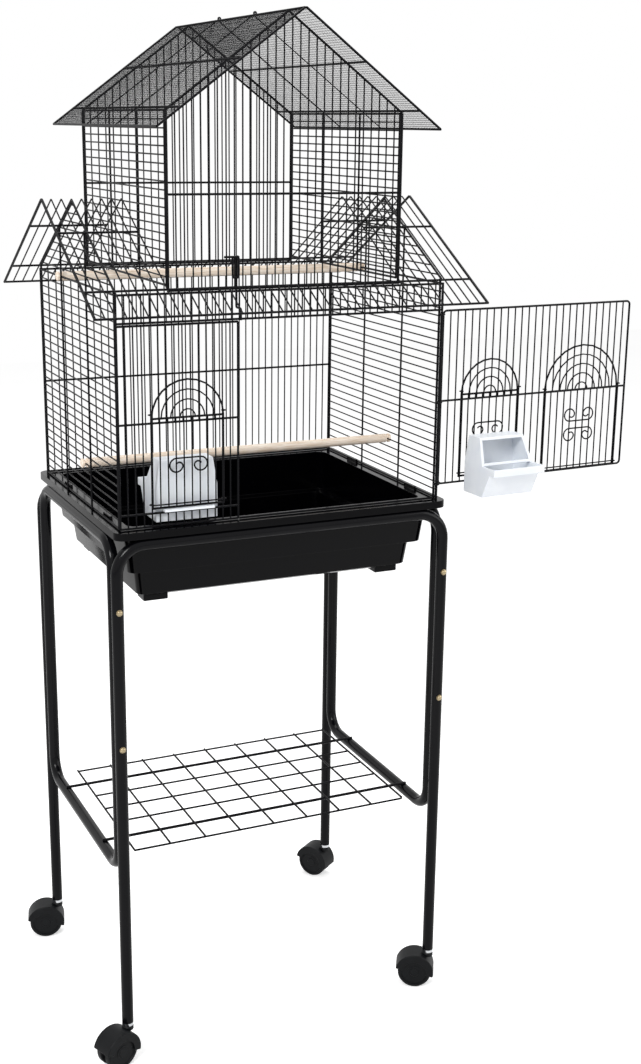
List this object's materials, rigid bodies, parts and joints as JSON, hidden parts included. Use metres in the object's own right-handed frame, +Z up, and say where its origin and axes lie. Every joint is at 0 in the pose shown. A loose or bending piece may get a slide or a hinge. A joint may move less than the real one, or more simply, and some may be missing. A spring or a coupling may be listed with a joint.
{
  "type": "bird cage on stand",
  "caption": "Pagoda-roof wire bird cage on a tube stand with casters: swing-open front door, guillotine feeder and entry doors, feed cups, perches, deep tray and a wire shelf.",
  "frame": {"origin": "centre of the bounding box of the whole object, open door included, at the floor under the casters", "axes": "+Z up, -Y toward the front with the door, +X toward the side the open door stands on"},
  "size_m": [0.8426, 0.4786, 1.4034],
  "materials": {
    "wire_coat": "satin black powder coat",
    "roof_mesh": "satin black coated mesh",
    "tube_coat": "semi-gloss black powder coat",
    "zinc": "yellow zinc plate",
    "caster_nylon": "moulded black nylon",
    "caster_chrome": "bright plated",
    "tray_plastic": "glossy black",
    "cup_plastic": "translucent white",
    "perch_wood": "bare planed dowel"
  },
  "bodies": {
    "cage_and_stand": {"bolt_bl_lower": "zinc", "bolt_bl_upper": "zinc", "bolt_br_lower": "zinc", "bolt_br_upper": "zinc", "bolt_fl_lower": "zinc", "bolt_fl_upper": "zinc", "bolt_fr_lower": "zinc", "bolt_fr_upper": "zinc", "cage_back_panel": "wire_coat", "cage_front_fixed_panel": "wire_coat", "cage_front_header": "wire_coat", "cage_left_panel": "wire_coat", "cage_right_panel": "wire_coat", "caster_bl_stem": "caster_chrome", "caster_br_stem": "caster_chrome", "caster_fl_stem": "caster_chrome", "caster_fr_stem": "caster_chrome", "door_post": "wire_coat", "door_sill": "wire_coat", "lower_roof_back": "wire_coat", "lower_roof_front": "wire_coat", "main_roof_left": "roof_mesh", "main_roof_right": "roof_mesh", "perch_lower": "perch_wood", "perch_upper": "perch_wood", "shelf": "wire_coat", "stand_back_frame": "tube_coat", "stand_front_frame": "tube_coat", "stand_left_ring": "tube_coat", "stand_right_ring": "tube_coat", "tower_back_panel": "wire_coat", "tower_front_panel": "wire_coat", "tower_left_panel": "wire_coat", "tower_right_panel": "wire_coat", "tray": "tray_plastic"},
    "big_door": {"big_door": "wire_coat"},
    "door_feeder_slide": {"door_feeder_door": "wire_coat"},
    "door_entry_slide": {"door_entry_door": "wire_coat"},
    "door_cup": {"door_cup": "cup_plastic"},
    "front_feeder_slide": {"front_feeder_door": "wire_coat"},
    "front_cup": {"front_cup": "cup_plastic"},
    "door_latch": {"door_latch": "wire_coat"},
    "caster_fl": {"caster_fl_hood": "caster_nylon", "caster_fl_axle": "caster_chrome"},
    "caster_fl_wheel_a": {"caster_fl_wheel_a": "caster_nylon"},
    "caster_fl_wheel_b": {"caster_fl_wheel_b": "caster_nylon"},
    "caster_fr": {"caster_fr_hood": "caster_nylon", "caster_fr_axle": "caster_chrome"},
    "caster_fr_wheel_a": {"caster_fr_wheel_a": "caster_nylon"},
    "caster_fr_wheel_b": {"caster_fr_wheel_b": "caster_nylon"},
    "caster_bl": {"caster_bl_hood": "caster_nylon", "caster_bl_axle": "caster_chrome"},
    "caster_bl_wheel_a": {"caster_bl_wheel_a": "caster_nylon"},
    "caster_bl_wheel_b": {"caster_bl_wheel_b": "caster_nylon"},
    "caster_br": {"caster_br_hood": "caster_nylon", "caster_br_axle": "caster_chrome"},
    "caster_br_wheel_a": {"caster_br_wheel_a": "caster_nylon"},
    "caster_br_wheel_b": {"caster_br_wheel_b": "caster_nylon"}
  },
  "joints": [
    {"name": "big_door_hinge", "type": "hinge", "parent": "cage_and_stand", "child": "big_door", "pos_m": [0.09407, -0.17151, 0.898], "axis": [0, 0, 1], "range_deg": [-183, 6]},
    {"name": "door_feeder_lift", "type": "slide", "parent": "big_door", "child": "door_feeder_slide", "axis": [0, 0, 1], "range_m": [0, 0.085]},
    {"name": "door_entry_lift", "type": "slide", "parent": "big_door", "child": "door_entry_slide", "axis": [0, 0, 1], "range_m": [0, 0.075]},
    {"name": "door_cup_pull", "type": "slide", "parent": "big_door", "child": "door_cup", "axis": [0.0523, -0.9986, 0], "range_m": [0, 0.06]},
    {"name": "front_feeder_lift", "type": "slide", "parent": "cage_and_stand", "child": "front_feeder_slide", "axis": [0, 0, 1], "range_m": [0, 0.085]},
    {"name": "front_cup_pull", "type": "slide", "parent": "cage_and_stand", "child": "front_cup", "axis": [0, 1, 0], "range_m": [0, 0.06]},
    {"name": "door_latch_lift", "type": "slide", "parent": "cage_and_stand", "child": "door_latch", "axis": [0, 0, 1], "range_m": [-0.01, 0.015]},
    {"name": "caster_fl_swivel", "type": "hinge", "parent": "cage_and_stand", "child": "caster_fl", "pos_m": [-0.37143, -0.17851, 0.03], "axis": [0, 0, 1], "continuous": true},
    {"name": "caster_fl_spin_a", "type": "hinge", "parent": "caster_fl", "child": "caster_fl_wheel_a", "pos_m": [-0.38928, -0.18501, 0.025], "axis": [-0.342, 0.9397, 0], "continuous": true},
    {"name": "caster_fl_spin_b", "type": "hinge", "parent": "caster_fl", "child": "caster_fl_wheel_b", "pos_m": [-0.38928, -0.18501, 0.025], "axis": [-0.342, 0.9397, 0], "continuous": true},
    {"name": "caster_fr_swivel", "type": "hinge", "parent": "cage_and_stand", "child": "caster_fr", "pos_m": [0.10257, -0.17851, 0.03], "axis": [0, 0, 1], "continuous": true},
    {"name": "caster_fr_spin_a", "type": "hinge", "parent": "caster_fr", "child": "caster_fr_wheel_a", "pos_m": [0.08612, -0.16901, 0.025], "axis": [0.5, 0.866, 0], "continuous": true},
    {"name": "caster_fr_spin_b", "type": "hinge", "parent": "caster_fr", "child": "caster_fr_wheel_b", "pos_m": [0.08612, -0.16901, 0.025], "axis": [0.5, 0.866, 0], "continuous": true},
    {"name": "caster_bl_swivel", "type": "hinge", "parent": "cage_and_stand", "child": "caster_bl", "pos_m": [-0.37143, 0.19149, 0.03], "axis": [0, 0, 1], "continuous": true},
    {"name": "caster_bl_spin_a", "type": "hinge", "parent": "caster_bl", "child": "caster_bl_wheel_a", "pos_m": [-0.38978, 0.19641, 0.025], "axis": [0.2588, 0.9659, 0], "continuous": true},
    {"name": "caster_bl_spin_b", "type": "hinge", "parent": "caster_bl", "child": "caster_bl_wheel_b", "pos_m": [-0.38978, 0.19641, 0.025], "axis": [0.2588, 0.9659, 0], "continuous": true},
    {"name": "caster_br_swivel", "type": "hinge", "parent": "cage_and_stand", "child": "caster_br", "pos_m": [0.10257, 0.19149, 0.03], "axis": [0, 0, 1], "continuous": true},
    {"name": "caster_br_spin_a", "type": "hinge", "parent": "caster_br", "child": "caster_br_wheel_a", "pos_m": [0.09167, 0.20705, 0.025], "axis": [0.8192, 0.5736, 0], "continuous": true},
    {"name": "caster_br_spin_b", "type": "hinge", "parent": "caster_br", "child": "caster_br_wheel_b", "pos_m": [0.09167, 0.20705, 0.025], "axis": [0.8192, 0.5736, 0], "continuous": true}
  ]
}
